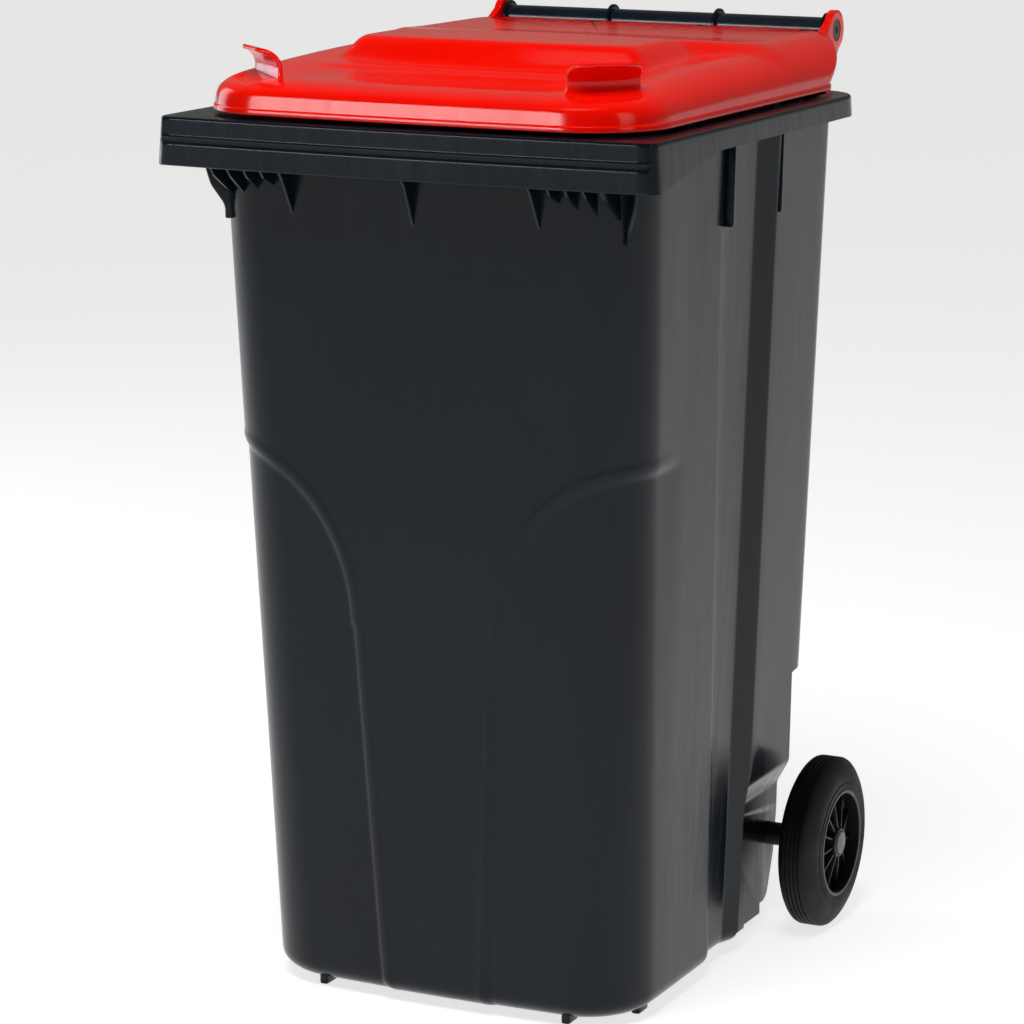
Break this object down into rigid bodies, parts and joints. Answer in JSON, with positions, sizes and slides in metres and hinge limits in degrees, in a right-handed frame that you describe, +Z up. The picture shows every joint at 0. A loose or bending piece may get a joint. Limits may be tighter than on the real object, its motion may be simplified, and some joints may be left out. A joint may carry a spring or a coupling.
{
  "type": "wheelie bin",
  "caption": "Two-wheeled household waste bin: tapered plastic tub with a deep front rim, hinged domed lid with corner grips, rear handle bar and rubber-tyred wheels on a steel axle.",
  "frame": {"origin": "on the ground, under the middle of the bin's width and length", "axes": "+X to the right seen from the front, -Y out of the front, +Z up; the wheels and the handle bar are at +Y"},
  "size_m": [0.59, 0.7288, 1.059],
  "materials": {
    "body_plastic": "satin moulded, dark blue-grey",
    "bar_plastic": "smooth glossy, dark blue-grey",
    "lid_plastic": "semi-gloss moulded, orange-red",
    "pin_plastic": "moulded, dark brown-black",
    "black_plastic": "moulded, black",
    "wheel_plastic": "moulded, black, slightly glossy",
    "cap_plastic": "moulded, mid grey",
    "tyre_rubber": "black rubber with fine grooves",
    "buffer_rubber": "black rubber",
    "zinc_steel": "zinc plated",
    "spring_steel": "spring wire"
  },
  "bodies": {
    "bin": {"bin_body": "body_plastic", "chip_nest_plug": "black_plastic", "handle_bar": "bar_plastic", "axle": "zinc_steel", "axle_spacer_left": "black_plastic", "axle_spacer_right": "black_plastic"},
    "lid": {"lid": "lid_plastic", "lid_buffers": "buffer_rubber", "hinge_pin_left": "pin_plastic", "hinge_pin_right": "pin_plastic"},
    "left_wheel": {"tyre_left": "tyre_rubber", "wheel_rim_left": "wheel_plastic", "hub_cap_left": "cap_plastic", "lock_spring_left": "spring_steel"},
    "right_wheel": {"tyre_right": "tyre_rubber", "wheel_rim_right": "wheel_plastic", "hub_cap_right": "cap_plastic", "lock_spring_right": "spring_steel"},
    "left_lock_pin": {"lock_pin_left": "zinc_steel"},
    "right_lock_pin": {"lock_pin_right": "zinc_steel"}
  },
  "joints": [
    {"name": "lid_hinge", "type": "hinge", "parent": "bin", "child": "lid", "pos_m": [0, 0.343, 1.036], "axis": [-1, 0, 0], "range_deg": [0, 270]},
    {"name": "left_wheel_spin", "type": "hinge", "parent": "bin", "child": "left_wheel", "pos_m": [0, 0.212, 0.1], "axis": [1, 0, 0], "continuous": true},
    {"name": "right_wheel_spin", "type": "hinge", "parent": "bin", "child": "right_wheel", "pos_m": [0, 0.212, 0.1], "axis": [1, 0, 0], "continuous": true},
    {"name": "left_lock_release", "type": "slide", "parent": "left_wheel", "child": "left_lock_pin", "axis": [0, 0, 1], "range_m": [0, 0.003], "stiffness_N_per_m": 400, "springref_m": -0.005, "deforming": ["lock_spring_left"]},
    {"name": "right_lock_release", "type": "slide", "parent": "right_wheel", "child": "right_lock_pin", "axis": [0, 0, 1], "range_m": [0, 0.003], "stiffness_N_per_m": 400, "springref_m": -0.005, "deforming": ["lock_spring_right"]}
  ]
}
